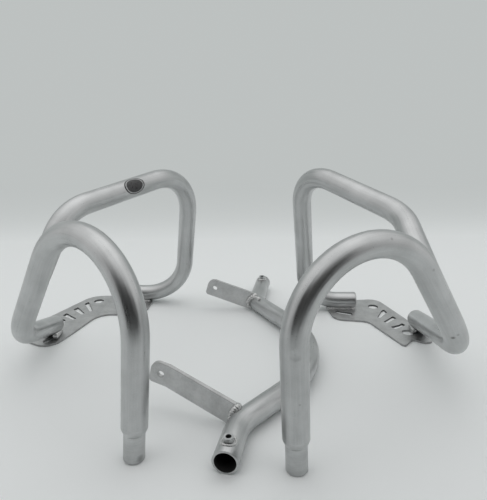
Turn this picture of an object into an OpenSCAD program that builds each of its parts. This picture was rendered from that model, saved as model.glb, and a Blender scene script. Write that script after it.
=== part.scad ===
// Motorcycle cylinder guard: two bent tube guards with foot plates, and the cross tube
// that their spigots plug into. The three sections stand apart, ready to be fitted.
// Millimetres. X runs from the left guard to the right one, Y away from the viewer, Z up.
// The floor is z = 0 and the origin is the middle of the base of the whole layout.

/* [Tube] */
// outer diameter of every tube
tube_d = 28; // [22:0.5:40]
// wall thickness of every tube
wall = 2.5; // [1.5:0.1:4]
// diameter of the spigots that plug into the cross tube
spigot_d = 22.8; // [16:0.1:34]
// length of spigot that shows under each front leg
spigot_length = 32; // [15:1:60]
// length of spigot pressed up inside each front leg
spigot_press = 26; // [10:1:50]
// length of the tapered shoulder at the foot of each front leg
shoulder_length = 6; // [2:0.5:15]
// width of the relief groove between spigot and shoulder
relief_width = 1.2; // [0.5:0.1:3]
// depth of the relief groove
relief_depth = 0.8; // [0.2:0.1:2]
// thickness of the rounded caps that close the lower tube ends
cap_thickness = 3; // [2:0.5:6]

/* [Foot plates] */
// sheet thickness of the foot plates
plate_thickness = 3.2; // [2:0.1:6]
// gap between the plates and the tubes on them, filled by the weld
plate_seat = 0.3; // [0:0.1:1]
// diameter of the two round bolt holes in each plate
plate_hole_d = 17.5; // [8:0.5:24]
// corner radius of the tapered slots
slot_corner = 1.6; // [0.5:0.1:2]
// width of the plain slot near the inner end of each plate
end_slot_width = 9.6; // [6:0.2:12]

/* [Mounting tabs] */
// width of the flat bar of the two tabs
tab_width = 31; // [20:1:45]
// thickness of the flat bar
tab_thickness = 5; // [3:0.5:8]
// diameter of the bolt hole in each tab
tab_hole_d = 8.5; // [5:0.5:14]
// distance of the bolt hole from the end of its tab
tab_hole_back = 14; // [8:0.5:20]
// rise of the front tab, in millimetres for each millimetre out
front_tab_rise = 0.27; // [0:0.01:0.6]
// rise of the rear tab, in millimetres for each millimetre out
rear_tab_rise = 0.30; // [0:0.01:0.6]
// turn of the last stretch of the front tab, degrees
front_tab_turn = 12; // [0:1:30]

/* [Bosses and welds] */
// outer diameter of the two clamp screw bosses
boss_d = 11; // [8:0.5:18]
// height of the bosses above the top of the tube
boss_rise = 5; // [2:0.5:12]
// distance of the bosses from the ends of the cross tube
boss_back = 16.5; // [10:0.5:30]
// core diameter of the tapped hole in each boss
boss_hole_d = 5.1; // [3:0.1:9]
// size of the weld beads
bead = 3; // [1.5:0.5:6]

/* [Hidden] */
$fn = 96;
r_out = tube_d / 2;
r_in = r_out - wall;
steel = [0.72, 0.73, 0.73];
plate_grey = [0.66, 0.67, 0.67];
weld_grey = [0.60, 0.60, 0.59];
bore_grey = [0.52, 0.53, 0.54];

// heights of tube centres: on the foot plates and, for the cross tube, on the floor
run_z = plate_thickness + plate_seat + r_out;
cross_z = r_out;
boss_top = cross_z + r_out + boss_rise;

// bend points of the tubes, from the foot of the front leg or the plate end onwards
left_front = [[-91, -226, 0.93], [-51, -216, 459], [-273, -72, 63], [-280, 61, run_z]];
left_front_bends = [89, 86];
left_rear = [
  [-209, 196, run_z], [-87, 183, run_z], [-56, 125, 257], [-195, -58, 230],
  [-218.5, -107.3, 160]
];
left_rear_bends = [84, 79, 75];
right_front = [[78, -245, 0.41], [61, -248, 438.5], [280, -150, 79], [306, 62.5, run_z]];
right_front_bends = [85, 92];
right_rear = [
  [222, 143, run_z], [138, 146, run_z], [111.6, 58.5, 265.4], [216.9, -87.9, 226.3],
  [214.8, -179.2, 186]
];
right_rear_bends = [60, 63, 71.5];
cross = [
  [5.6, -251, cross_z], [19, -190.5, cross_z], [156.5, -50, cross_z + 4],
  [48, 147, cross_z], [65, 244.5, cross_z]
];
cross_bends = [60, 160, 36];

// outlines of the plates as corner points with the radius of each corner
left_plate_corners = [
  [-143, 212, 30], [-265, 212, 34], [-322, 103, 22], [-320, 34, 14],
  [-271, 7, 24], [-254, 52, 30], [-229, 128, 30], [-149, 128, 28]
];
right_plate_corners = [
  [172, 170, 24], [273, 178, 22], [316, 38, 16], [316, 12, 8], [301, 9, 8],
  [287.5, 21, 5], [267.5, -1, 4], [234.5, 86, 16], [180, 96, 20]
];

// corner points of the tapered slots in the plates
left_slots = [
  [[-269.5, 174.1], [-264.4, 183.7], [-244.3, 142.6], [-248.7, 139.4]],
  [[-281.4, 149.1], [-276.9, 159.9], [-256.2, 133.3], [-258.9, 126.7]],
  [[-292, 124.9], [-288.9, 134.4], [-263.6, 111.8], [-268, 106.8]]
];
right_slots = [
  [[267.2, 124.3], [273.4, 131.7], [275.9, 119], [257.3, 96.2], [253.8, 100.3]],
  [[274.3, 96.5], [280.7, 103.4], [285, 95.3], [263.5, 76.8], [259.3, 82.6]],
  [[282.3, 70.7], [288.1, 76.1], [291.5, 68.5], [270.7, 54.7], [265.2, 63.1]]
];

// moves the layout so that the middle of its base is the origin
centre_shift = [0.929, 6.517, 0];
module placed() {
  translate(centre_shift)
    children();
}

// small vector helpers
function unit(v) = v / norm(v);
function mid_angle(a, b) = acos(max(-1, min(1, unit(a) * unit(b))));
function setback(p, r, i) = r[i - 1] * tan(mid_angle(p[i] - p[i - 1], p[i + 1] - p[i]) / 2);
// rotation angles that turn x, y, z into the three unit vectors given
function frame_angles(ex, ey, ez) = [
  atan2(ey[2], ez[2]),
  -asin(max(-1, min(1, ex[2]))),
  atan2(ex[1], ex[0])
];
// point at distance s along the straight from a to b
function along(a, b, s) = a + unit(b - a) * s;

// straight rod from a to b
module rod(a, b, r) {
  d = b - a;
  translate(a)
    rotate([0, acos(max(-1, min(1, d[2] / norm(d)))), atan2(d[1], d[0])])
      cylinder(r = r, h = norm(d));
}

// one bend of a tube at point v, coming from a and leaving to b
module elbow(a, v, b, bend_r, r) {
  d1 = unit(v - a);
  d2 = unit(b - v);
  turn = mid_angle(d1, d2);
  t = bend_r * tan(turn / 2);
  p1 = v - d1 * t;
  centre = v + unit(d2 - d1) * (bend_r / cos(turn / 2));
  ex = unit(p1 - centre);
  ez = cross(ex, d1);
  translate(centre)
    rotate(frame_angles(ex, d1, ez))
      rotate_extrude(angle = turn)
        translate([bend_r, 0])
          circle(r = r);
}

// solid rod that follows the bend points p with bend radii b, from s0 past the start;
// the straights reach a little way over the bends, which are a hair thinner
module bent_rod(p, b, r, s0 = 0) {
  n = len(p);
  lap = 0.3;
  for (i = [0 : n - 2]) {
    d = unit(p[i + 1] - p[i]);
    from = i == 0 ? p[0] + d * s0 : p[i] + d * (setback(p, b, i) - lap);
    to = i == n - 2 ? p[n - 1] : p[i + 1] - d * (setback(p, b, i + 1) - lap);
    rod(from, to, r);
  }
  for (i = [1 : n - 2])
    elbow(p[i - 1], p[i], p[i + 1], b[i - 1], r - 0.02);
}

// things drawn along an axis: z starts at a and points to b
module on_axis(a, b) {
  d = b - a;
  translate(a)
    rotate([0, acos(max(-1, min(1, d[2] / norm(d)))), atan2(d[1], d[0])])
      children();
}

// sub-parts that both guards share
module front_tube(p, b) {
  foot = spigot_length + shoulder_length;
  difference() {
    union() {
      bent_rod(p, b, r_out, foot);
      on_axis(p[0], p[1])
        rotate_extrude()
          polygon([
            [0, spigot_length], [r_in + 0.6, spigot_length], [r_out + 0.01, foot],
            [r_out + 0.01, foot + 0.5], [0, foot + 0.5]
          ]);
    }
    bent_rod(p, b, r_in, spigot_length);
  }
}

module spigot(p) {
  on_axis(p[0], p[1])
    difference() {
      rotate_extrude()
        polygon([
          [0, 0], [spigot_d / 2 - 1, 0], [spigot_d / 2, 1],
          [spigot_d / 2, spigot_length - relief_width],
          [spigot_d / 2 - relief_depth, spigot_length - relief_width],
          [spigot_d / 2 - relief_depth, spigot_length],
          [r_in, spigot_length], [r_in, spigot_length + spigot_press - 2],
          [r_in - 2, spigot_length + spigot_press], [0, spigot_length + spigot_press]
        ]);
      translate([0, 0, 8])
        cylinder(r = spigot_d / 2 - 4, h = spigot_length + spigot_press);
    }
}

// the rear tube ends in a saddle cut against the outer leg of the front tube
module rear_tube(p, b, leg_a, leg_b) {
  n = len(p);
  trimmed = [for (i = [0 : n - 1]) i < n - 1 ? p[i] : p[i] - unit(p[i] - p[i - 1]) * 2];
  difference() {
    bent_rod(trimmed, b, r_out);
    bent_rod(trimmed, b, r_in);
    rod(leg_a, leg_b, r_out);
  }
}

// rounded cap on the end of a tube, axis pointing from the end into the tube
module end_cap(end, inside) {
  on_axis(end, inside) {
    translate([0, 0, -cap_thickness])
      rotate_extrude()
        difference() {
          union() {
            square([r_out - cap_thickness + 0.5, cap_thickness]);
            translate([r_out - cap_thickness + 0.5, cap_thickness - 0.5])
              square([cap_thickness - 0.5, 0.5]);
            intersection() {
              translate([r_out - cap_thickness + 0.5, cap_thickness - 0.5])
                circle(r = cap_thickness - 0.5);
              square([r_out, cap_thickness]);
            }
          }
          translate([-50, -50])
            square([50, 100]);
        }
    cylinder(r = r_in, h = 7);
  }
}

// bead where the rear tube meets the front one
module saddle_weld(p, front, front_b) {
  n = len(p);
  d = unit(p[n - 1] - p[n - 2]);
  end = p[n - 1];
  difference() {
    intersection() {
      rod(end - d * 45, end - d * 3, r_out + bead);
      rod(front[1], front[2], r_out + bead - 0.4);
    }
    bent_rod(front, front_b, r_out, spigot_length + shoulder_length);
    rod(end - d * 60, end, r_out);
  }
}

// beads between the lower tube ends and the plate
module plate_welds(end_a, in_a, end_b, in_b) {
  difference() {
    union() {
      intersection() {
        rod(end_a, along(end_a, in_a, 17), r_out + bead);
        translate([-400, -400, plate_thickness])
          cube([800, 800, bead]);
      }
      intersection() {
        rod(along(end_b, in_b, 2), along(end_b, in_b, 34), r_out + bead);
        translate([-400, -400, plate_thickness])
          cube([800, 800, bead]);
      }
    }
    rod(end_a, along(end_a, in_a, 40), r_out);
    rod(end_b, along(end_b, in_b, 60), r_out);
  }
}

// corner points with radii turned into one outline
function corner_arc(p, q, n, r) =
  let (
    d1 = unit([p[0] - q[0], p[1] - q[1]]),
    d2 = unit([n[0] - q[0], n[1] - q[1]]),
    half = acos(max(-1, min(1, d1 * d2))) / 2,
    middle = [q[0], q[1]] + unit(d1 + d2) * (r / sin(half)),
    first = [q[0], q[1]] + d1 * (r / tan(half)) - middle,
    last = [q[0], q[1]] + d2 * (r / tan(half)) - middle,
    a1 = atan2(first[1], first[0]),
    a2 = atan2(last[1], last[0]),
    sweep = (a2 - a1 + 900) % 360 - 180
  )
  [for (k = [0 : 10]) middle + r * [cos(a1 + sweep * k / 10), sin(a1 + sweep * k / 10)]];
function rounded(corners) = [
  for (i = [0 : len(corners) - 1])
    let (n = len(corners), p = corners[(i + n - 1) % n], q = corners[i], s = corners[(i + 1) % n])
      for (pt = corner_arc(p, q, s, q[2])) pt
];

// slot of constant width between two points, drawn flat
module slot2d(a, b, width) {
  d = b - a;
  w = [-d[1], d[0]] / norm(d) * width / 2;
  translate(a)
    circle(d = width);
  translate(b)
    circle(d = width);
  polygon([a + w, b + w, b - w, a - w]);
}

module foot_plate(corners, holes, tapers, long_slots) {
  difference() {
    linear_extrude(height = plate_thickness)
      polygon(rounded(corners));
    for (h = holes)
      translate([h[0], h[1], -1])
        cylinder(d = plate_hole_d, h = plate_thickness + 2);
    translate([0, 0, -1])
      linear_extrude(height = plate_thickness + 2) {
        for (s = tapers)
          polygon(rounded([for (q = s) [q[0], q[1], slot_corner]]));
        for (s = long_slots)
          slot2d(s[0], s[1], end_slot_width);
      }
  }
}

// left guard
module left_front_tube() {
  color(steel)
    placed()
      front_tube(left_front, left_front_bends);
}

module left_spigot() {
  color(steel)
    placed()
      spigot(left_front);
}

module left_rear_tube() {
  color(steel)
    placed()
      rear_tube(left_rear, left_rear_bends, left_front[1], left_front[2]);
}

module left_front_end_cap() {
  color(steel)
    placed()
      end_cap(left_front[3], left_front[2]);
}

module left_rear_end_cap() {
  color(steel)
    placed()
      end_cap(left_rear[0], left_rear[1]);
}

module left_tube_weld() {
  color(weld_grey)
    placed()
      saddle_weld(left_rear, left_front, left_front_bends);
}

module left_plate_welds() {
  color(weld_grey)
    placed()
      plate_welds(left_front[3], left_front[2], left_rear[0], left_rear[1]);
}

module left_foot_plate() {
  color(plate_grey)
    placed()
      foot_plate(
        left_plate_corners,
        [[-246, 186], [-288, 101]],
        left_slots,
        [[[-182, 170], [-202, 165]], [[-284, 30], [-273, 51]]]
      );
}

// right guard
module right_front_tube() {
  color(steel)
    placed()
      front_tube(right_front, right_front_bends);
}

module right_spigot() {
  color(steel)
    placed()
      spigot(right_front);
}

module right_rear_tube() {
  color(steel)
    placed()
      rear_tube(right_rear, right_rear_bends, right_front[1], right_front[2]);
}

module right_front_end_cap() {
  color(steel)
    placed()
      end_cap(right_front[3], right_front[2]);
}

module right_rear_end_cap() {
  color(steel)
    placed()
      end_cap(right_rear[0], right_rear[1]);
}

module right_tube_weld() {
  color(weld_grey)
    placed()
      saddle_weld(right_rear, right_front, right_front_bends);
}

module right_plate_welds() {
  color(weld_grey)
    placed()
      plate_welds(right_front[3], right_front[2], right_rear[0], right_rear[1]);
}

module right_foot_plate() {
  color(plate_grey)
    placed()
      foot_plate(
        right_plate_corners,
        [[258, 144], [286, 43]],
        right_slots,
        [[[191, 124], [210, 115.5]]]
      );
}

// cross tube
module cross_solid(r) {
  bent_rod(cross, cross_bends, r);
}

module mouth_chamfer(end, inside) {
  on_axis(end, inside)
    translate([0, 0, -0.2])
      cylinder(r1 = r_in + 1.1, r2 = r_in - 0.3, h = 1.4);
}

front_boss_at = along(cross[0], cross[1], boss_back);
rear_boss_at = along(cross[4], cross[3], boss_back);

module cross_tube() {
  color(steel)
    placed()
      difference() {
        cross_solid(r_out);
        cross_solid(r_in);
        mouth_chamfer(cross[0], cross[1]);
        mouth_chamfer(cross[4], cross[3]);
        for (p = [front_boss_at, rear_boss_at])
          translate(p)
            cylinder(d = boss_hole_d + 1.3, h = 2 * r_out);
      }
}

module boss(p) {
  translate([p[0], p[1], cross_z])
    difference() {
      cylinder(d = boss_d, h = boss_top - cross_z);
      translate([0, 0, -1])
        cylinder(d = boss_hole_d, h = boss_top);
      translate([0, 0, boss_top - cross_z - 0.6])
        cylinder(d1 = boss_hole_d, d2 = boss_hole_d + 1.6, h = 0.8);
    }
}

module boss_ring(p) {
  translate([p[0], p[1], cross_z])
    difference() {
      cylinder(d = boss_d + 2 * bead, h = r_out + bead / 2);
      translate([0, 0, -1])
        cylinder(d = boss_d, h = 2 * r_out);
    }
}

module cross_front_boss() {
  color(bore_grey)
    placed()
      difference() {
        boss(front_boss_at);
        rod(cross[0], cross[1], r_out);
      }
}

module cross_rear_boss() {
  color(bore_grey)
    placed()
      difference() {
        boss(rear_boss_at);
        rod(cross[4], cross[3], r_out);
      }
}

module cross_boss_welds() {
  color(weld_grey)
    placed()
      difference() {
        union() {
          boss_ring(front_boss_at);
          boss_ring(rear_boss_at);
        }
        rod(cross[0], cross[1], r_out);
        rod(cross[4], cross[3], r_out);
      }
}

// flat bar on edge: starts at the origin and runs along x, z is its width
module bar(from, to, grow = 0) {
  translate([from, -tab_thickness / 2 - grow, -tab_width / 2 - grow])
    cube([to - from, tab_thickness + 2 * grow, tab_width + 2 * grow]);
}

// flat bar on edge with a rounded far end: straight for a length, then turned in plan
module tab_bar(from, straight, end, turn) {
  t = tab_thickness / 2;
  m = t * tan(turn / 2);
  c = cos(turn);
  v = sin(turn);
  intersection() {
    translate([0, 0, -tab_width / 2 - 2])
      linear_extrude(height = tab_width + 4)
        polygon([
          [from, -t], [straight + m, -t], [straight + end * c + t * v, end * v - t * c],
          [straight + end * c - t * v, end * v + t * c], [straight - m, t], [from, t]
        ]);
    translate([straight, 0, 0])
      rotate([0, 0, turn])
        rotate([90, 0, 0])
          translate([0, 0, -40])
            linear_extrude(height = 80)
              polygon(rounded([
                [end, tab_width / 2, 12], [-200, tab_width / 2, 1],
                [-200, -tab_width / 2, 1], [end, -tab_width / 2, 5]
              ]));
  }
}

// bolt hole of a tab, in the frame of its last stretch
module tab_hole(straight, end, turn) {
  translate([straight, 0, 0])
    rotate([0, 0, turn])
      translate([end - tab_hole_back, 3 * tab_thickness, 0])
        rotate([90, 0, 0])
          cylinder(d = tab_hole_d, h = 6 * tab_thickness);
}

// places a bar: start point, heading in plan and rise
module tab_frame(start, heading, rise) {
  translate(start)
    rotate([0, 0, heading])
      rotate([0, -atan(rise), 0])
        children();
}

front_tab_start = [12, -176, cross_z + 3];
front_tab_heading = 151.7;
front_tab_straight = 92;
front_tab_end = 23;
rear_tab_start = [48, 144, cross_z + 1];
rear_tab_heading = 168;
rear_tab_straight = 62;
rear_tab_end = 30;

module cross_front_tab() {
  color(plate_grey)
    placed()
      difference() {
        tab_frame(front_tab_start, front_tab_heading, front_tab_rise)
          difference() {
            tab_bar(-3, front_tab_straight, front_tab_end, front_tab_turn);
            tab_hole(front_tab_straight, front_tab_end, front_tab_turn);
          }
        cross_solid(r_out);
      }
}

module cross_rear_tab() {
  color(plate_grey)
    placed()
      difference() {
        tab_frame(rear_tab_start, rear_tab_heading, rear_tab_rise)
          difference() {
            tab_bar(6, rear_tab_straight, rear_tab_end, 0);
            tab_hole(rear_tab_straight, rear_tab_end, 0);
          }
        cross_solid(r_out);
      }
}

module cross_front_tab_weld() {
  color(weld_grey)
    placed()
      difference() {
        intersection() {
          tab_frame(front_tab_start, front_tab_heading, front_tab_rise)
            translate([-12, -tab_thickness / 2 - bead, -9])
              cube([30, tab_thickness + 2 * bead, 23]);
          cross_solid(r_out + bead);
        }
        tab_frame(front_tab_start, front_tab_heading, front_tab_rise)
          bar(-20, 60);
        cross_solid(r_out);
      }
}

module cross_rear_tab_weld() {
  color(weld_grey)
    placed()
      difference() {
        intersection() {
          tab_frame(rear_tab_start, rear_tab_heading, rear_tab_rise)
            translate([4, -tab_thickness / 2 - bead, -9])
              cube([30, tab_thickness + 2 * bead, 23]);
          cross_solid(r_out + bead);
        }
        tab_frame(rear_tab_start, rear_tab_heading, rear_tab_rise)
          bar(0, 60);
        cross_solid(r_out);
      }
}

left_front_tube();
left_spigot();
left_rear_tube();
left_front_end_cap();
left_rear_end_cap();
left_tube_weld();
left_plate_welds();
left_foot_plate();
right_front_tube();
right_spigot();
right_rear_tube();
right_front_end_cap();
right_rear_end_cap();
right_tube_weld();
right_plate_welds();
right_foot_plate();
cross_tube();
cross_front_boss();
cross_rear_boss();
cross_boss_welds();
cross_front_tab();
cross_rear_tab();
cross_front_tab_weld();
cross_rear_tab_weld();
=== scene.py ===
import math

import bmesh
import bpy
from mathutils import Matrix, Vector


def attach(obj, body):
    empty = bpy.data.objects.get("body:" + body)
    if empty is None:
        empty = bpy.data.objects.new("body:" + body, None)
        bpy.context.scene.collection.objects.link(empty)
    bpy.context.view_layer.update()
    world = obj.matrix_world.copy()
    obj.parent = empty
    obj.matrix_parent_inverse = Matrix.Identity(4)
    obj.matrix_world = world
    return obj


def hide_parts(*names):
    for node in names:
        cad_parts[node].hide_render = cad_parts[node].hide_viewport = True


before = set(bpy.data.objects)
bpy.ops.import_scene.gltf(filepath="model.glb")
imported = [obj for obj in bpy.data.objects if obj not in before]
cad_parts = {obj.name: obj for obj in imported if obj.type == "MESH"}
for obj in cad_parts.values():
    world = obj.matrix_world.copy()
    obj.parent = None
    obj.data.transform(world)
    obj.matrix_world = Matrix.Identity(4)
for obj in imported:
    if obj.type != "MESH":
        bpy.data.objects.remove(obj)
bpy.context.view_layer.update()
print("frame loaded:", len(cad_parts), "solids")

mm = 0.001
layoutShift = Vector((0.929, 6.517, 0))  # the layout's centre over the origin, in mm


def place(point):
    return (Vector(point) + layoutShift) * mm


def addObject(name, data):
    item = bpy.data.objects.new(name, data)
    bpy.context.scene.collection.objects.link(item)
    return item


# camera first: it stands low in front of the layout and looks slightly down
view = {
    "x": 0.02793, "y": -0.63148, "height": 0.355, "pitch": 17.2, "roll": -0.8,
    "lens": 34.13, "sensor": 36, "near": 0.01, "far": 50,
}


def makeCamera():
    pitch, roll = math.radians(view["pitch"]), math.radians(view["roll"])
    forward = Vector((0, math.cos(pitch), -math.sin(pitch)))
    side = Vector((1, 0, 0))
    up = side.cross(forward)
    right = math.cos(roll) * side + math.sin(roll) * up
    top = -math.sin(roll) * side + math.cos(roll) * up
    data = bpy.data.cameras.new("camera")
    data.lens, data.sensor_width, data.sensor_fit = view["lens"], view["sensor"], "AUTO"
    data.clip_start, data.clip_end = view["near"], view["far"]
    camera = addObject("camera", data)
    turn = Matrix((right, top, -forward)).transposed().to_4x4()
    camera.matrix_world = Matrix.Translation((view["x"], view["y"], view["height"])) @ turn
    bpy.context.scene.camera = camera


makeCamera()
print("camera placed")


def shader(name):
    material = bpy.data.materials.new(name)
    material.use_nodes = True
    nodes, links = material.node_tree.nodes, material.node_tree.links
    return material, nodes, links, nodes["Principled BSDF"]


def noiseOn(nodes, links, vector, scale, detail, stretch=(1, 1, 1)):
    mapping = nodes.new("ShaderNodeMapping")
    mapping.inputs["Scale"].default_value = stretch
    noise = nodes.new("ShaderNodeTexNoise")
    noise.inputs["Scale"].default_value = scale
    noise.inputs["Detail"].default_value = detail
    links.new(vector, mapping.inputs["Vector"])
    links.new(mapping.outputs["Vector"], noise.inputs["Vector"])
    return noise.outputs["Fac"]


def spread(nodes, links, source, low, high, fromLow=0.3, fromHigh=0.7):
    ramp = nodes.new("ShaderNodeMapRange")
    for socket, value in (("From Min", fromLow), ("From Max", fromHigh), ("To Min", low), ("To Max", high)):
        ramp.inputs[socket].default_value = value
    links.new(source, ramp.inputs["Value"])
    return ramp.outputs["Result"]


def mixTone(nodes, links, factor, first, second):
    tone = nodes.new("ShaderNodeMix")
    tone.data_type = "RGBA"
    for socket, value in ((6, first), (7, second)):  # sockets A and B of the colour kind
        if isinstance(value, tuple):
            tone.inputs[socket].default_value = (*value, 1)
        else:
            links.new(value, tone.inputs[socket])
    links.new(factor, tone.inputs[0])
    return tone.outputs[2]


def calculate(nodes, links, operation, first, second):
    step = nodes.new("ShaderNodeMath")
    step.operation = operation
    for socket, value in enumerate((first, second)):
        if isinstance(value, (int, float)):
            step.inputs[socket].default_value = value
        else:
            links.new(value, step.inputs[socket])
    return step.outputs["Value"]


# the first source counts with its share, the second with the rest
def weigh(nodes, links, first, second, share):
    return calculate(nodes, links, "ADD", calculate(nodes, links, "MULTIPLY", first, share),
                     calculate(nodes, links, "MULTIPLY", second, 1 - share))


def pressed(nodes, links, height, depth, normal=None):
    bump = nodes.new("ShaderNodeBump")
    bump.inputs["Strength"].default_value = 1
    bump.inputs["Distance"].default_value = depth
    links.new(height, bump.inputs["Height"])
    if normal is not None:
        links.new(normal, bump.inputs["Normal"])
    return bump.outputs["Normal"]


# small knocks in the lacquer: place in metres, radius, how dark; dents only press the skin in
knocks = [
    ((-0.0720, 0.1594, 0.0858), 0.0011, 0.55), ((0.0785, -0.2528, 0.0859), 0.0012, 0.35),
    ((0.2568, -0.1633, 0.1055), 0.0023, 0.75), ((0.2606, -0.1660, 0.1104), 0.0017, 0.35),
    ((0.1660, -0.2084, 0.2327), 0.0014, 0.40), ((0.2173, -0.1873, 0.1939), 0.0016, 0.30),
]
dents = [((0.0737, -0.2534, 0.1377), 0.0048), ((0.2173, -0.1873, 0.1939), 0.0060)]
chips = [((-0.0786, -0.2300, 0.0060), 0.0052, 0.80), ((-0.0850, -0.2320, 0.0200), 0.0012, 0.35)]

# what all silver finishes share: the noises' shares, and depth and ragged edge of the marks in metres
lacquer = {
    "grainShare": 0.35, "driftShare": 0.5, "toneFrom": 0.36, "toneTo": 0.64,
    "knockDepth": 0.0002, "knockRagged": 0.0014, "dentDepth": 0.0003, "dentRagged": 0.0006,
    "raggedScale": 620, "spotCore": 0.4, "spotRim": 1.3,
}


def spotMask(nodes, links, where, spots, ragged):
    wobble = nodes.new("ShaderNodeTexNoise")
    wobble.inputs["Scale"].default_value = lacquer["raggedScale"]
    bent = nodes.new("ShaderNodeVectorMath")
    bent.operation = "MULTIPLY_ADD"
    links.new(where, wobble.inputs["Vector"])
    links.new(wobble.outputs["Color"], bent.inputs[0])
    bent.inputs[1].default_value = (ragged, ragged, ragged)
    links.new(where, bent.inputs[2])
    total = None
    for centre, radius, *strength in spots:
        reach = nodes.new("ShaderNodeVectorMath")
        reach.operation = "DISTANCE"
        links.new(bent.outputs["Vector"], reach.inputs[0])
        reach.inputs[1].default_value = [c + ragged / 2 for c in centre]
        mask = spread(nodes, links, reach.outputs["Value"], *(strength or [1]), 0,
                      radius * lacquer["spotCore"], radius * lacquer["spotRim"])
        total = mask if total is None else calculate(nodes, links, "MAXIMUM", total, mask)
    return total


# on the swept tubes the grain runs lengthwise, along the bends
def drawnPlace(nodes, links):
    around, along = nodes.new("ShaderNodeAttribute"), nodes.new("ShaderNodeAttribute")
    around.attribute_name, along.attribute_name = "roundPlace", "runLength"
    split, joined = nodes.new("ShaderNodeSeparateXYZ"), nodes.new("ShaderNodeCombineXYZ")
    links.new(around.outputs["Vector"], split.inputs["Vector"])
    for axis, source in (("X", split.outputs["X"]), ("Y", split.outputs["Y"]), ("Z", along.outputs["Fac"])):
        links.new(source, joined.inputs[axis])
    return joined.outputs["Vector"]


# every silver finish shares one recipe: tone drift, sheen drift and a fine grain
def metalFinish(name, look):
    material, nodes, links, surface = shader(name)
    surface.inputs["Metallic"].default_value = look["metallic"]
    where = nodes.new("ShaderNodeTexCoord").outputs["Object"]
    grainPlace = drawnPlace(nodes, links) if look.get("drawn") else where
    drift = noiseOn(nodes, links, where, look["driftScale"], 4)
    grain = noiseOn(nodes, links, where, look["grainScale"], 3)
    streak = noiseOn(nodes, links, grainPlace, look["streakScale"], 3, look["streakStretch"])
    fine = weigh(nodes, links, grain, streak, lacquer["grainShare"])
    mottle = weigh(nodes, links, drift, fine, lacquer["driftShare"])
    tone = spread(nodes, links, mottle, 0, 1, lacquer["toneFrom"], lacquer["toneTo"])
    colour = mixTone(nodes, links, tone, look["dark"], look["light"])
    rough = spread(nodes, links, fine, look["smooth"], look["rough"])
    normal = pressed(nodes, links, streak, look["streakDepth"])
    normal = pressed(nodes, links, grain, look["grainDepth"], normal)
    if "spots" in look:
        mask = spotMask(nodes, links, where, look["spots"], lacquer["knockRagged"])
        colour = mixTone(nodes, links, mask, colour, look["bare"])
        height = calculate(nodes, links, "SUBTRACT", 1, mask)
        normal = pressed(nodes, links, height, lacquer["knockDepth"], normal)
    if "dents" in look:
        hollow = spotMask(nodes, links, where, look["dents"], lacquer["dentRagged"])
        height = calculate(nodes, links, "SUBTRACT", 1, hollow)
        normal = pressed(nodes, links, height, lacquer["dentDepth"], normal)
    links.new(colour, surface.inputs["Base Color"])
    links.new(rough, surface.inputs["Roughness"])
    links.new(normal, surface.inputs["Normal"])
    return material


silverLacquer = metalFinish("silverLacquer", {
    "dark": (0.43, 0.44, 0.44), "light": (0.57, 0.58, 0.58), "metallic": 1, "driftScale": 30,
    "grainScale": 900, "streakScale": 420, "streakStretch": (1, 1, 0.045), "drawn": True,
    "smooth": 0.26, "rough": 0.40, "streakDepth": 0.00018, "grainDepth": 0.00002,
    "spots": knocks, "bare": (0.10, 0.095, 0.09), "dents": dents})
plateLacquer = metalFinish("plateLacquer", {
    "dark": (0.44, 0.445, 0.445), "light": (0.60, 0.605, 0.605), "metallic": 0.95, "driftScale": 55,
    "grainScale": 700, "streakScale": 260, "streakStretch": (1, 1, 1), "smooth": 0.34, "rough": 0.50,
    "streakDepth": 0.00012, "grainDepth": 0.00003})
# painted shade for the cut walls of plates and tabs, darker than the lacquer beside them
shadeWallLook = {
    "driftScale": 90, "grainScale": 700, "streakScale": 300, "streakStretch": (1, 1, 4),
    "smooth": 0.35, "rough": 0.55, "streakDepth": 0.00010, "grainDepth": 0.00003}
# lighter painted shade: plate rims, end slots half under a tube, and the tabs' broken edges
paintedRimShade = metalFinish("paintedRimShade", {
    **shadeWallLook, "dark": (0.27, 0.275, 0.275), "light": (0.40, 0.405, 0.405), "metallic": 0.4})
# darker painted shade: walls of the plates' holes and slots away from the tubes
paintedSlotShade = metalFinish("paintedSlotShade", {
    **shadeWallLook, "dark": (0.09, 0.095, 0.095), "light": (0.17, 0.175, 0.175), "metallic": 0.9})
# weld beads: silver lacquer whose tone varies at random, with its light tone raised above the tubes' as a
# painted highlight
weldLacquerGlint = metalFinish("weldLacquerGlint", {
    "dark": (0.44, 0.45, 0.45), "light": (0.70, 0.70, 0.69), "metallic": 0.95, "driftScale": 170,
    "grainScale": 700, "streakScale": 300, "streakStretch": (1, 1, 1), "smooth": 0.22, "rough": 0.42,
    "streakDepth": 0.00010, "grainDepth": 0.00004})
turnedSteel = metalFinish("turnedSteel", {
    "dark": (0.44, 0.45, 0.45), "light": (0.58, 0.59, 0.59), "metallic": 1, "driftScale": 60,
    "grainScale": 800, "streakScale": 60, "streakStretch": (1, 1, 12), "smooth": 0.28, "rough": 0.42,
    "streakDepth": 0.00012, "grainDepth": 0.00003, "spots": chips, "bare": (0.13, 0.13, 0.13)})
boreShade = metalFinish("boreShade", {
    "dark": (0.006, 0.006, 0.006), "light": (0.016, 0.016, 0.016), "metallic": 0.2, "driftScale": 80,
    "grainScale": 600, "streakScale": 200, "streakStretch": (1, 1, 1), "smooth": 0.6, "rough": 0.8,
    "streakDepth": 0.00006, "grainDepth": 0.00003})
print("finishes ready")


def newTree(name, inputs, output):
    tree = bpy.data.node_groups.new(name, "GeometryNodeTree")
    for socket, kind in inputs:
        tree.interface.new_socket(socket, in_out="INPUT", socket_type="NodeSocket" + kind)
    tree.interface.new_socket(output, in_out="OUTPUT", socket_type="NodeSocketGeometry")
    return tree, tree.nodes.new("NodeGroupInput"), tree.nodes.new("NodeGroupOutput")


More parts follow.
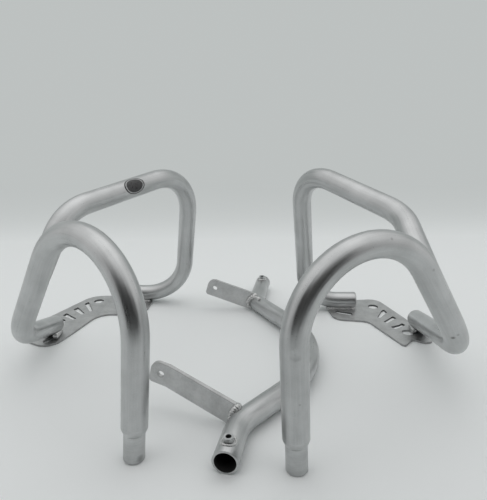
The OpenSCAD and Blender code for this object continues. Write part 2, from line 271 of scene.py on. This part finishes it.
def namedFloat(nodes, name):
    attribute = nodes.new("GeometryNodeInputNamedAttribute")
    attribute.data_type = "FLOAT"
    attribute.inputs["Name"].default_value = name
    return attribute.outputs["Attribute"]


# one sweep for every tube: bend points in, rounded bends and a round section out
def sweepTree():
    tree, given, made = newTree("tubeSweep", (
        ("Path", "Geometry"), ("Radius", "Float"), ("Sides", "Int"), ("Bend Steps", "Int"),
        ("Closed Ends", "Bool"), ("Finish", "Material")), "Tube")
    nodes, links = tree.nodes, tree.links
    toCurve = nodes.new("GeometryNodeMeshToCurve")
    fillet = nodes.new("GeometryNodeFilletCurve")
    fillet.mode = "POLY"
    section = nodes.new("GeometryNodeCurvePrimitiveCircle")
    runLength, roundPlace = (nodes.new("GeometryNodeStoreNamedAttribute") for _ in range(2))
    runLength.data_type, roundPlace.data_type = "FLOAT", "FLOAT_VECTOR"
    runLength.inputs["Name"].default_value = "runLength"
    roundPlace.inputs["Name"].default_value = "roundPlace"
    links.new(nodes.new("GeometryNodeSplineParameter").outputs["Length"], runLength.inputs["Value"])
    links.new(nodes.new("GeometryNodeInputPosition").outputs["Position"], roundPlace.inputs["Value"])
    sweep = nodes.new("GeometryNodeCurveToMesh")
    smooth = nodes.new("GeometryNodeSetShadeSmooth")
    realize = nodes.new("GeometryNodeRealizeInstances")
    finish = nodes.new("GeometryNodeSetMaterial")
    links.new(given.outputs["Path"], toCurve.inputs["Mesh"])
    links.new(toCurve.outputs["Curve"], fillet.inputs["Curve"])
    links.new(namedFloat(nodes, "bendRadius"), fillet.inputs["Radius"])
    links.new(given.outputs["Bend Steps"], fillet.inputs["Count"])
    links.new(given.outputs["Sides"], section.inputs["Resolution"])
    links.new(given.outputs["Radius"], section.inputs["Radius"])
    links.new(fillet.outputs["Curve"], runLength.inputs["Geometry"])
    links.new(section.outputs["Curve"], roundPlace.inputs["Geometry"])
    links.new(runLength.outputs["Geometry"], sweep.inputs["Curve"])
    links.new(roundPlace.outputs["Geometry"], sweep.inputs["Profile Curve"])
    links.new(given.outputs["Closed Ends"], sweep.inputs["Fill Caps"])
    links.new(sweep.outputs["Mesh"], smooth.inputs["Geometry"])
    links.new(smooth.outputs["Geometry"], realize.inputs["Geometry"])
    links.new(realize.outputs["Geometry"], finish.inputs["Geometry"])
    links.new(given.outputs["Finish"], finish.inputs["Material"])
    links.new(finish.outputs["Geometry"], made.inputs["Tube"])
    return tree


def runTree(piece, tree, values):
    modifier = piece.modifiers.new(tree.name, "NODES")
    modifier.node_group = tree
    sockets = {s.name: s.identifier for s in tree.interface.items_tree if s.in_out == "INPUT"}
    for name, value in values.items():
        modifier[sockets[name]] = value


# turns a piece with live modifiers into a plain mesh under the same name
def bake(piece):
    evaluated = piece.evaluated_get(bpy.context.evaluated_depsgraph_get())
    mesh = bpy.data.meshes.new_from_object(evaluated)
    name = piece.name
    bpy.data.objects.remove(piece)
    return addObject(name, mesh)


def settle(piece, slotName, *nodes):
    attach(piece, "root")
    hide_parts(*nodes)


def pathObject(name, points, bends):
    mesh = bpy.data.meshes.new(name)
    mesh.from_pydata([place(p) for p in points], [(i, i + 1) for i in range(len(points) - 1)], [])
    attribute = mesh.attributes.new("bendRadius", "FLOAT", "POINT")
    for index, bend in enumerate([0, *bends, 0]):
        attribute.data[index].value = bend * mm
    return addObject(name, mesh)


# routes in mm: the corners of each centre line and the bend radius at every inner corner
tubes = {
    "outerRadius": 14, "wall": 2.5, "sides": 72, "bendSteps": 26, "footLength": 38, "rearTrim": 4,
    "mouthEdge": 0.6, "mouthSegments": 2,
    "leftFront": ([(-91, -226, 0.93), (-51, -216, 459), (-273, -72, 63), (-280, 61, 17.5)], [89, 86]),
    "leftRear": ([(-209, 196, 17.5), (-87, 183, 17.5), (-56, 125, 257), (-195, -58, 230),
                  (-218.5, -107.3, 160)], [84, 79, 75]),
    "rightFront": ([(78, -245, 0.41), (61, -248, 438.5), (280, -150, 79), (306, 62.5, 17.5)], [85, 92]),
    "rightRear": ([(222, 143, 17.5), (138, 146, 17.5), (111.6, 58.5, 265.4), (216.9, -87.9, 226.3),
                   (214.8, -179.2, 186)], [60, 63, 71.5]),
    "cross": ([(5.6, -251, 14), (19, -190.5, 14), (156.5, -50, 18), (48, 147, 14),
               (65, 244.5, 14)], [60, 160, 36]),
}
tubeSweep = sweepTree()


def cornersOf(route):
    return [Vector(p) for p in tubes[route][0]]


def makeTube(name, route, node, startAt=0.0, trim=0.0, hollow=False):
    points, bends = cornersOf(route), tubes[route][1]
    points[0] = points[0] + (points[1] - points[0]).normalized() * startAt
    points[-1] = points[-1] - (points[-1] - points[-2]).normalized() * trim
    piece = pathObject(name, points, bends)
    runTree(piece, tubeSweep, {
        "Radius": tubes["outerRadius"] * mm, "Sides": tubes["sides"], "Bend Steps": tubes["bendSteps"],
        "Closed Ends": not hollow, "Finish": silverLacquer})
    piece = bake(piece)
    if hollow:
        piece.data.materials.append(boreShade)
        shell = piece.modifiers.new("wall", "SOLIDIFY")
        shell.thickness, shell.offset, shell.material_offset = tubes["wall"] * mm, -1, 1
        edge = piece.modifiers.new("edge", "BEVEL")
        edge.width, edge.segments = tubes["mouthEdge"] * mm, tubes["mouthSegments"]
        edge.limit_method = "ANGLE"
        piece = bake(piece)
    settle(piece, "tube_silver", node)


for side in ("left", "right"):
    makeTube(f"{side}_front_run", f"{side}Front", f"{side}_front_tube", startAt=tubes["footLength"])
    makeTube(f"{side}_rear_run", f"{side}Rear", f"{side}_rear_tube", trim=tubes["rearTrim"])
makeTube("cross_run", "cross", "cross_tube", hollow=True)
print("tubes swept")


# faces between rings of the same count; a ring of one point closes the end
def joinRings(form, rings, count):
    for lower, upper in zip(rings, rings[1:]):
        for k in range(count):
            n = (k + 1) % count
            below = [lower[k % len(lower)], lower[n % len(lower)]]
            above = [upper[n % len(upper)], upper[k % len(upper)]]
            form.faces.new(list(dict.fromkeys(below + above)))
    bmesh.ops.recalc_face_normals(form, faces=form.faces)


def meshFrom(form, name):
    mesh = bpy.data.meshes.new(name)
    form.to_mesh(mesh)
    form.free()
    return mesh


# turned foot of each front leg: spigot, shoulder and the fine ring above it, as (radius, height)
foot = {
    "sides": 72, "sharpFrom": 32,
    "profile": [
        (0, 0), (10.4, 0), (11.1, 0.3), (11.4, 1), (11.4, 31.4), (11.0, 31.8), (11.0, 32.2), (12.1, 32.6),
        (13.4, 36), (13.9, 37.4), (14, 38), (13.7, 38.4), (13.7, 39), (14.02, 39.4), (14.02, 41), (0, 41)],
}


def makeFoot(name, route, node):
    base, above = cornersOf(route)[:2]
    upright = (above - base).to_track_quat("Z", "Y").to_matrix().to_4x4()
    form = bmesh.new()
    rings = []
    for radius, height in foot["profile"]:
        angles = [2 * math.pi * k / foot["sides"] for k in range(foot["sides"])] if radius else [0]
        ring = [Vector((radius * math.cos(a), radius * math.sin(a), height)) for a in angles]
        rings.append([form.verts.new(place(base + upright @ point)) for point in ring])
    joinRings(form, rings, foot["sides"])
    mesh = meshFrom(form, name)
    mesh.materials.append(turnedSteel)
    mesh.shade_smooth()
    mesh.set_sharp_from_angle(angle=math.radians(foot["sharpFrom"]))
    settle(addObject(name, mesh), "spigot_silver", node)


makeFoot("left_foot_turned", "leftFront", "left_spigot")
makeFoot("right_foot_turned", "rightFront", "right_spigot")
print("feet turned")


# sheet parts and bosses: a merged copy of the solid with its edges broken; mm and degrees,
# and a slant is the upright share of a face's normal
edges = {
    "plateEdge": 0.6, "tabEdge": 0.7, "bossEdge": 0.5, "capEdge": 0.3, "segments": 3,
    "mergeWithin": 0.01, "flatWithin": 1, "sharpFrom": 32, "brokenFrom": 40,
    "bossBack": 16.5, "bossBore": 3.6, "underTube": 66, "wallSlant": 0.5, "boreSlant": 0.9,
}


def brokenEdges(node, name, slotName, finish, width, others=(), sort=None, edgeShaded=False):
    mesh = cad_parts[node].data.copy()
    form = bmesh.new()
    form.from_mesh(mesh)
    bmesh.ops.remove_doubles(form, verts=form.verts, dist=edges["mergeWithin"] * mm)
    flat = math.radians(edges["flatWithin"])
    bmesh.ops.dissolve_limit(form, angle_limit=flat, verts=form.verts, edges=form.edges)
    bmesh.ops.recalc_face_normals(form, faces=form.faces)
    form.to_mesh(mesh)
    form.free()
    mesh.materials.clear()
    for material in (finish, *others):
        mesh.materials.append(material)
    mesh.shade_smooth()
    mesh.set_sharp_from_angle(angle=math.radians(edges["sharpFrom"]))
    piece = addObject(name, mesh)
    edge = piece.modifiers.new("edge", "BEVEL")
    edge.width, edge.segments, edge.limit_method = width * mm, edges["segments"], "ANGLE"
    edge.angle_limit = math.radians(edges["brokenFrom"])
    # tabs with shaded edges take the lighter painted shade on their bevels
    edge.material = 1 if edgeShaded else -1
    piece = bake(piece)
    if sort:
        sort(piece.data)
    settle(piece, slotName, node)


# the faces in sets of those that hang together
def connectedFaces(faces):
    groups = []
    while faces:
        group, waiting = [], [faces.pop()]
        while waiting:
            face = waiting.pop()
            group.append(face)
            for line in face.edges:
                for beside in line.link_faces:
                    if beside in faces:
                        faces.remove(beside)
                        waiting.append(beside)
        groups.append(group)
    return groups


# the cut walls of a plate carry painted shade: the rim gets the second finish, the lighter shade,
# walls of holes and slots the third, the darker shade, apart from the end slots that lie half under a tube,
# which get the second
def sortWalls(mesh):
    def length(group):
        places = [vert.co.x for face in group for vert in face.verts]
        return max(places) - min(places)

    form = bmesh.new()
    form.from_mesh(mesh)
    groups = connectedFaces({face for face in form.faces if abs(face.normal.z) < edges["wallSlant"]})
    rim = max(groups, key=length)
    for group in groups:
        underTube = max(v.co.y for f in group for v in f.verts) < edges["underTube"] * mm
        for face in group:
            face.material_index = 1 if group is rim or underTube else 2
    form.to_mesh(mesh)
    form.free()


def bossAt(end):
    path = cornersOf("cross")
    first, second = (path[0], path[1]) if end == "front" else (path[4], path[3])
    return first + (second - first).normalized() * edges["bossBack"]


def sortBore(end):
    centre = place(bossAt(end))
    reach = edges["bossBore"] * mm

    def sort(mesh):
        for face in mesh.polygons:
            if (face.center.xy - centre.xy).length < reach and abs(face.normal.z) < edges["boreSlant"]:
                face.material_index = 1
    return sort


for side in ("left", "right"):
    brokenEdges(f"{side}_foot_plate", f"{side}_plate", "plate_silver", plateLacquer, edges["plateEdge"],
                (paintedRimShade, paintedSlotShade), sortWalls)
    for end in ("front", "rear"):
        brokenEdges(f"{side}_{end}_end_cap", f"{side}_{end}_cap", "tube_silver", silverLacquer,
                    edges["capEdge"])
for end in ("front", "rear"):
    brokenEdges(f"cross_{end}_tab", f"{end}_tab", "plate_silver", plateLacquer, edges["tabEdge"],
                (paintedRimShade,), edgeShaded=True)
    brokenEdges(f"cross_{end}_boss", f"{end}_boss", "boss_silver", turnedSteel, edges["bossEdge"],
                (boreShade,), sortBore(end))
print("plates, tabs and bosses finished")


# weld runs: overlapping ripples on a core that follows the seam
welds = {
    "ripple": 2.3, "pitch": 1.45, "ripplesFlat": 0.62, "core": 0.90, "coreSides": 12, "ballCuts": 2,
    "unevenness": 0.15, "seed": 7,
}


def weldTree():
    tree, given, made = newTree("weldRun", (
        ("Path", "Geometry"), ("Ripple Size", "Float"), ("Pitch", "Float"), ("Flatness", "Float"),
        ("Core Share", "Float"), ("Unevenness", "Float"), ("Seed", "Int"), ("Finish", "Material")), "Weld")
    nodes, links = tree.nodes, tree.links
    toCurve, even = nodes.new("GeometryNodeMeshToCurve"), nodes.new("GeometryNodeResampleCurve")
    even.mode = "LENGTH"
    ball = nodes.new("GeometryNodeMeshIcoSphere")
    ball.inputs["Subdivisions"].default_value = welds["ballCuts"]
    turn = nodes.new("FunctionNodeAlignRotationToVector")
    turn.axis = "Z"
    tangent = nodes.new("GeometryNodeInputTangent")
    chance = nodes.new("FunctionNodeRandomValue")
    beadShare = namedFloat(nodes, "beadShare")
    unevenness, rippleSize = given.outputs["Unevenness"], given.outputs["Ripple Size"]
    low = calculate(nodes, links, "SUBTRACT", 1, unevenness)
    high = calculate(nodes, links, "ADD", 1, unevenness)
    width = calculate(nodes, links, "MULTIPLY", chance.outputs[1], beadShare)
    flat = calculate(nodes, links, "MULTIPLY", width, given.outputs["Flatness"])
    coreRadius = calculate(nodes, links, "MULTIPLY", rippleSize, given.outputs["Core Share"])
    size = nodes.new("ShaderNodeCombineXYZ")
    scatter = nodes.new("GeometryNodeInstanceOnPoints")
    section, core = nodes.new("GeometryNodeCurvePrimitiveCircle"), nodes.new("GeometryNodeCurveToMesh")
    section.inputs["Resolution"].default_value = welds["coreSides"]
    core.inputs["Fill Caps"].default_value = True
    join, realize = nodes.new("GeometryNodeJoinGeometry"), nodes.new("GeometryNodeRealizeInstances")
    smooth, finish = nodes.new("GeometryNodeSetShadeSmooth"), nodes.new("GeometryNodeSetMaterial")
    # a random number has its limits at inputs 2 and 3 and comes out at 1
    for source, target in (
            (given.outputs["Path"], toCurve.inputs["Mesh"]),
            (toCurve.outputs["Curve"], even.inputs["Curve"]),
            (given.outputs["Pitch"], even.inputs["Length"]),
            (rippleSize, ball.inputs["Radius"]),
            (tangent.outputs["Tangent"], turn.inputs["Vector"]),
            (low, chance.inputs[2]),
            (high, chance.inputs[3]),
            (given.outputs["Seed"], chance.inputs["Seed"]),
            (width, size.inputs["X"]),
            (width, size.inputs["Y"]),
            (flat, size.inputs["Z"]),
            (even.outputs["Curve"], scatter.inputs["Points"]),
            (ball.outputs["Mesh"], scatter.inputs["Instance"]),
            (turn.outputs["Rotation"], scatter.inputs["Rotation"]),
            (size.outputs["Vector"], scatter.inputs["Scale"]),
            (coreRadius, section.inputs["Radius"]),
            (toCurve.outputs["Curve"], core.inputs["Curve"]),
            (section.outputs["Curve"], core.inputs["Profile Curve"]),
            (beadShare, core.inputs["Scale"]),
            (scatter.outputs["Instances"], join.inputs["Geometry"]),
            (core.outputs["Mesh"], join.inputs["Geometry"]),
            (join.outputs["Geometry"], realize.inputs["Geometry"]),
            (realize.outputs["Geometry"], smooth.inputs["Geometry"]),
            (smooth.outputs["Geometry"], finish.inputs["Geometry"]),
            (given.outputs["Finish"], finish.inputs["Material"]),
            (finish.outputs["Geometry"], made.inputs["Weld"])):
        links.new(source, target)
    return tree


weldRun = weldTree()


# runs are tuples of points, whether they close, and how thick the bead is at each point
def makeWeld(name, node, runs, size=1.0):
    points, links, shares = [], [], []
    for run, closed, *given in runs:
        first = len(points)
        points += [place(p) for p in run]
        shares += given[0] if given else [1] * len(run)
        links += [(i, i + 1) for i in range(first, len(points) - 1)]
        if closed:
            links.append((len(points) - 1, first))
    mesh = bpy.data.meshes.new(name)
    mesh.from_pydata(points, links, [])
    attribute = mesh.attributes.new("beadShare", "FLOAT", "POINT")
    for item, share in zip(attribute.data, shares):
        item.value = share
    piece = addObject(name, mesh)
    runTree(piece, weldRun, {
        "Ripple Size": welds["ripple"] * size * mm, "Pitch": welds["pitch"] * size * mm,
        "Flatness": welds["ripplesFlat"], "Core Share": welds["core"], "Unevenness": welds["unevenness"],
        "Seed": welds["seed"], "Finish": weldLacquerGlint})
    settle(bake(piece), "weld_bead", node)


# distance along way at which a line from start meets the tube's skin; nearest point if it misses
def reachTube(start, way, tubePoint, tubeWay, tubeRadius, side):
    offset = start - tubePoint
    flatWay, flatOffset = way - tubeWay * way.dot(tubeWay), offset - tubeWay * offset.dot(tubeWay)
    a, b, c = flatWay.dot(flatWay), 2 * flatWay.dot(flatOffset), flatOffset.dot(flatOffset) - tubeRadius ** 2
    return (-b + side * math.sqrt(max(0, b * b - 4 * a * c))) / (2 * a)


# where a round bar meets a round tube: one point for each step round the bar;
# pinch draws the seam in at the two sides where the tubes pass over each other
def seamRound(barPoint, barWay, barRadius, tubePoint, tubeWay, tubeRadius, pinch=0.0, steps=48):
    barWay, tubeWay = barWay.normalized(), tubeWay.normalized()
    across = (tubeWay - barWay * tubeWay.dot(barWay)).normalized()
    other = barWay.cross(across)
    points = []
    for k in range(steps):
        a = 2 * math.pi * k / steps
        radius = barRadius - pinch * math.sin(a) ** 2
        start = barPoint + radius * (math.cos(a) * across + math.sin(a) * other)
        points.append(start + barWay * reachTube(start, barWay, tubePoint, tubeWay, tubeRadius, -1))
    return points


# bead round the end of a tube that lies on a plate; left and right give how far it runs
# along the front tube and the rear tube, ahead how far from the tube's end it starts
plateSeam = {
    "plateTop": 3.2, "beadRise": 1.3, "lateral": 8.7, "steps": 10, "endSteps": 8, "endFlat": 0.6,
    "climbShare": 0.62, "growth": 0.09, "longFrom": 30, "longSteps": 3, "longGrowth": 0.35,
    "left": (25, 57), "right": (25, 43), "ahead": (1, 3), "size": 1.15,
}


# up one side, round the end, down the other; where the tube climbs away from the plate
# the bead grows to fill the gap
def runOnPlate(end, inside, length, ahead):
    way = (inside - end).normalized()
    flatWay = Vector((way.x, way.y, 0)).normalized()
    climb = way.z / math.hypot(way.x, way.y)
    lateral = plateSeam["lateral"]
    across = Vector((-flatWay.y, flatWay.x, 0)) * lateral
    seat = Vector((end.x, end.y, plateSeam["plateTop"] + plateSeam["beadRise"]))
    steps, endSteps = plateSeam["steps"], plateSeam["endSteps"]
    run, shares = [], []
    for sign in (1, -1):
        leg, legShares = [], []
        for k in range(steps + 1):
            reach = ahead + length * k / steps
            gap = max(0, climb * reach)
            rise = Vector((0, 0, gap * plateSeam["climbShare"]))
            leg.append(seat + rise + flatWay * reach + across * sign)
            isLong = length > plateSeam["longFrom"] and k > steps - plateSeam["longSteps"]
            legShares.append(1 + gap * plateSeam["growth"] + (plateSeam["longGrowth"] if isLong else 0))
        run += leg[::-1] if sign > 0 else leg
        shares += legShares[::-1] if sign > 0 else legShares
        if sign > 0:
            for a in (math.pi * k / endSteps for k in range(1, endSteps)):
                back = ahead - lateral * math.sin(a) * plateSeam["endFlat"]
                run.append(seat + flatWay * back + across * math.cos(a))
                shares.append(1)
    return run, False, shares


# the coped joint of each rear tube: a little outside the rear tube, a little into the front tube
jointSeam = {"wider": 0.4, "sunk": 0.2, "pinch": 3.4, "size": 0.95}

for side in ("left", "right"):
    front, rear = cornersOf(f"{side}Front"), cornersOf(f"{side}Rear")
    seam = seamRound(rear[-1], rear[-1] - rear[-2], tubes["outerRadius"] + jointSeam["wider"],
                     front[1], front[2] - front[1], tubes["outerRadius"] - jointSeam["sunk"],
                     jointSeam["pinch"])
    makeWeld(f"{side}_tube_bead", f"{side}_tube_weld", [(seam, True)], jointSeam["size"])
    ends = ((front[3], front[2]), (rear[0], rear[1]))
    runs = [runOnPlate(*way, length, ahead)
            for way, length, ahead in zip(ends, plateSeam[side], plateSeam["ahead"])]
    makeWeld(f"{side}_plate_beads", f"{side}_plate_welds", runs, plateSeam["size"])

# rings round the bosses, found from above each boss
bossSeam = {"bossRadius": 5.5, "wider": 2.2, "above": 30, "steps": 32, "size": 0.72}
crossPath = cornersOf("cross")
down = Vector((0, 0, -1))
bossSeams = []
for end, near, far in (("front", 0, 1), ("rear", 4, 3)):
    ring = seamRound(bossAt(end) - down * bossSeam["above"], down, bossSeam["bossRadius"] + bossSeam["wider"],
                     crossPath[near], crossPath[far] - crossPath[near], tubes["outerRadius"],
                     steps=bossSeam["steps"])
    bossSeams.append((ring, True))
makeWeld("cross_boss_beads", "cross_boss_welds", bossSeams, bossSeam["size"])

# each tab: start, heading in degrees, rise, inner end, and the stretch of cross tube that it meets
tabs = {"front": ((12, -176, 17), 151.7, 0.27, -3, 1, 2), "rear": ((48, 144, 15), 168, 0.30, 6, 3, 2)}
tabSeam = {
    "thickness": 5, "standsOff": 0.9, "bottom": -9, "height": 20, "steps": 10,
    "topSteps": 2, "topGrowth": 0.3,
    "nearShare": 1.7, "farShare": 1.15, "overTop": 12, "overShare": 1.9, "size": 1.1,
    "rearPool": [(44, 139, 27.2), (49, 132, 28.2), (53.5, 126, 28)], "poolShares": [1.2, 1.1, 1.5],
}


# bead up one face of a tab, over its inner end and down the other face
def seamOnTab(start, heading, rise, innerEnd, tubePoint, tubeWay):
    start, heading, climb = Vector(start), math.radians(heading), math.atan(rise)
    level = math.cos(climb)
    along = Vector((math.cos(heading) * level, math.sin(heading) * level, math.sin(climb)))
    across = Vector((-math.sin(heading), math.cos(heading), 0))
    up = along.cross(across)
    aside = tabSeam["thickness"] / 2 + tabSeam["standsOff"]
    radius, way, last = tubes["outerRadius"], tubeWay.normalized(), tabSeam["steps"] - 1
    run, shares = [], []
    for sign, order, share in ((1, range(last + 1), tabSeam["nearShare"]),
                               (-1, range(last, -1, -1), tabSeam["farShare"])):
        for k in order:
            height = tabSeam["bottom"] + tabSeam["height"] * k / last
            base = start + across * sign * aside + up * height
            run.append(base + along * max(reachTube(base, along, tubePoint, way, radius, 1), innerEnd))
            shares.append(share + (tabSeam["topGrowth"] if k > last - tabSeam["topSteps"] else 0))
        if sign > 0:
            run.append(start + up * tabSeam["overTop"] + along * (innerEnd - 1))
            shares.append(tabSeam["overShare"])
    return run, False, shares


for end, (start, heading, rise, innerEnd, near, far) in tabs.items():
    seams = [seamOnTab(start, heading, rise, innerEnd, crossPath[near], crossPath[far] - crossPath[near])]
    if end == "rear":
        seams.append((tabSeam["rearPool"], False, tabSeam["poolShares"]))
    makeWeld(f"{end}_tab_bead", f"cross_{end}_tab_weld", seams, tabSeam["size"])
print("welds laid")


# plain dark badge wrapped on the left top run, with a silver ring near its rim
badge = {
    "axisPoint": (-132.0, 25.0, 242.25), "way": (-0.601, -0.791, -0.117), "towards": (0.62, -0.66, 0.42),
    "halfLength": 17, "halfWrap": 12, "standsOff": 0.12, "thickness": 0.15, "steps": 48, "rings": 12,
    "ringFrom": 0.80, "ringTo": 0.90, "ringTone": (0.42, 0.43, 0.43), "grain": 380,
    "dark": (0.018, 0.018, 0.019), "light": (0.05, 0.05, 0.052), "smooth": 0.25, "rough": 0.4,
}


def badgeFilm():
    film, nodes, links, surface = shader("badgeFilm")
    attribute = nodes.new("ShaderNodeAttribute")
    attribute.attribute_name = "rim"
    outward = attribute.outputs["Fac"]
    past = calculate(nodes, links, "GREATER_THAN", outward, badge["ringFrom"])
    short = calculate(nodes, links, "LESS_THAN", outward, badge["ringTo"])
    band = calculate(nodes, links, "MULTIPLY", past, short)
    soft = noiseOn(nodes, links, nodes.new("ShaderNodeTexCoord").outputs["Object"], badge["grain"], 3)
    ground = mixTone(nodes, links, spread(nodes, links, soft, 0, 1), badge["dark"], badge["light"])
    links.new(mixTone(nodes, links, band, ground, badge["ringTone"]), surface.inputs["Base Color"])
    links.new(spread(nodes, links, soft, badge["smooth"], badge["rough"]), surface.inputs["Roughness"])
    return film


def makeBadge():
    way = Vector(badge["way"]).normalized()
    out = Vector(badge["towards"])
    out = (out - way * out.dot(way)).normalized()
    side = way.cross(out)
    reach = tubes["outerRadius"] + badge["standsOff"]
    form = bmesh.new()
    rim = form.verts.layers.float.new("rim")
    rings = []
    for ring in range(badge["rings"] + 1):
        share = ring / badge["rings"]
        row = []
        for k in range(badge["steps"] if ring else 1):
            a = 2 * math.pi * k / badge["steps"]
            turn = badge["halfWrap"] * share * math.sin(a) / tubes["outerRadius"]
            point = Vector(badge["axisPoint"]) + way * badge["halfLength"] * share * math.cos(a)
            vert = form.verts.new(place(point + reach * (math.cos(turn) * out + math.sin(turn) * side)))
            vert[rim] = share
            row.append(vert)
        rings.append(row)
    joinRings(form, rings, badge["steps"])
    if form.faces[0].normal.dot(out) < 0:
        bmesh.ops.reverse_faces(form, faces=form.faces)
    mesh = meshFrom(form, "badge")
    mesh.shade_smooth()
    mesh.materials.append(badgeFilm())
    piece = addObject("badge", mesh)
    skin = piece.modifiers.new("skin", "SOLIDIFY")
    skin.thickness, skin.offset = badge["thickness"] * mm, 1
    piece = bake(piece)
    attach(piece, "root")


makeBadge()
print("badge placed")


# pale sweep: floor, a soft curve and a low wall; the studio behind the camera stays dark
studio = {
    "width": 7, "front": -0.86, "back": 0.8, "curve": 0.45, "curveSteps": 12, "height": 1.5,
    "floor": (0.87, 0.895, 0.895), "wall": (0.51, 0.535, 0.53), "roughness": 0.9,
    "blendFrom": 0.62, "blendTo": 1.05, "domeLevel": 1.2,
    "domeStops": ((0.0, 0.58), (0.35, 0.64), (0.71, 0.77), (0.92, 0.87), (1.0, 0.91)),
    "darkShare": 0.62, "darkTurn": (-0.78, -0.30), "darkClimb": (0.70, 0.985),
}


def makeSweep():
    section = [(studio["front"], 0), (studio["back"], 0)]
    for k in range(1, studio["curveSteps"] + 1):
        a = math.radians(90 * k / studio["curveSteps"])
        section.append((studio["back"] + studio["curve"] * math.sin(a), studio["curve"] * (1 - math.cos(a))))
    section.append((section[-1][0], studio["height"]))
    half = studio["width"] / 2
    points = [(x, y, z) for y, z in section for x in (-half, half)]
    faces = [(2 * i, 2 * i + 1, 2 * i + 3, 2 * i + 2) for i in range(len(section) - 1)]
    mesh = bpy.data.meshes.new("sweep")
    mesh.from_pydata(points, [], faces)
    mesh.shade_smooth()
    paper, nodes, links, surface = shader("palePaper")
    surface.inputs["Roughness"].default_value = studio["roughness"]
    surface.inputs["Base Color"].default_value = (*studio["floor"], 1)
    split = nodes.new("ShaderNodeSeparateXYZ")
    links.new(nodes.new("ShaderNodeTexCoord").outputs["Object"], split.inputs["Vector"])
    wall = nodes.new("ShaderNodeEmission")
    wall.inputs["Color"].default_value = (*studio["wall"], 1)
    toWall = spread(nodes, links, split.outputs["Y"], 0, 1, studio["blendFrom"], studio["blendTo"])
    blend = nodes.new("ShaderNodeMixShader")
    links.new(toWall, blend.inputs[0])
    links.new(surface.outputs["BSDF"], blend.inputs[1])
    links.new(wall.outputs["Emission"], blend.inputs[2])
    links.new(blend.outputs["Shader"], nodes["Material Output"].inputs["Surface"])
    mesh.materials.append(paper)
    sweep = addObject("sweep", mesh)


# light from a dome by direction, darker behind the camera; camera rays see the wall's tone
def makeAir():
    world = bpy.data.worlds.new("studioAir")
    world.use_nodes = True
    nodes, links = world.node_tree.nodes, world.node_tree.links
    split = nodes.new("ShaderNodeSeparateXYZ")
    links.new(nodes.new("ShaderNodeTexCoord").outputs["Generated"], split.inputs["Vector"])
    dome = nodes.new("ShaderNodeValToRGB")
    while len(dome.color_ramp.elements) < len(studio["domeStops"]):
        dome.color_ramp.elements.new(0.5)
    for stop, (position, level) in zip(dome.color_ramp.elements, studio["domeStops"]):
        stop.position, stop.color = position, (level, level, level, 1)
    links.new(split.outputs["Z"], dome.inputs["Fac"])
    behind = spread(nodes, links, split.outputs["Y"], 1, 0, *studio["darkTurn"])
    low = spread(nodes, links, split.outputs["Z"], 1, 0, *studio["darkClimb"])
    zone = calculate(nodes, links, "MULTIPLY", behind, low)
    shade = calculate(nodes, links, "MULTIPLY", zone, studio["darkShare"])
    lit = mixTone(nodes, links, shade, dome.outputs["Color"], (0, 0, 0))
    air, backdrop = nodes["Background"], nodes.new("ShaderNodeBackground")
    links.new(lit, air.inputs["Color"])
    air.inputs["Strength"].default_value = studio["domeLevel"]
    backdrop.inputs["Color"].default_value = (*studio["wall"], 1)
    chosen = nodes.new("ShaderNodeMixShader")
    links.new(nodes.new("ShaderNodeLightPath").outputs["Is Camera Ray"], chosen.inputs[0])
    links.new(air.outputs["Background"], chosen.inputs[1])
    links.new(backdrop.outputs["Background"], chosen.inputs[2])
    links.new(chosen.outputs["Shader"], nodes["World Output"].inputs["Surface"])
    bpy.context.scene.world = world


# dark card behind the camera, which the polished arches mirror as a dark band
card = {"left": -0.80, "right": 0.86, "y": -0.88, "bottom": -0.5, "top": 0.74, "tone": (0.02, 0.02, 0.02)}


def makeCard():
    corners = [(card["left"], card["bottom"]), (card["right"], card["bottom"]),
               (card["right"], card["top"]), (card["left"], card["top"])]
    mesh = bpy.data.meshes.new("darkCard")
    mesh.from_pydata([(x, card["y"], z) for x, z in corners], [], [(0, 1, 2, 3)])
    felt, _, _, surface = shader("blackFelt")
    surface.inputs["Base Color"].default_value = (*card["tone"], 1)
    surface.inputs["Roughness"].default_value = 1
    mesh.materials.append(felt)
    piece = addObject("darkCard", mesh)
    piece.visible_camera = False


# one weak lamp overhead
lamp = {"at": (0, 0.35, 2.0), "aim": (0, 0, 0), "size": (1.8, 1.4), "power": 1.2}


def makeLamp():
    data = bpy.data.lights.new("overhead", "AREA")
    data.shape, data.energy = "RECTANGLE", lamp["power"]
    data.size, data.size_y = lamp["size"]
    light = addObject("overhead", data)
    light.location = lamp["at"]
    light.rotation_euler = (Vector(lamp["aim"]) - Vector(lamp["at"])).to_track_quat("-Z", "Y").to_euler()


makeSweep()
makeAir()
makeCard()
makeLamp()
bpy.context.scene.view_settings.view_transform = "Standard"
print("studio set")
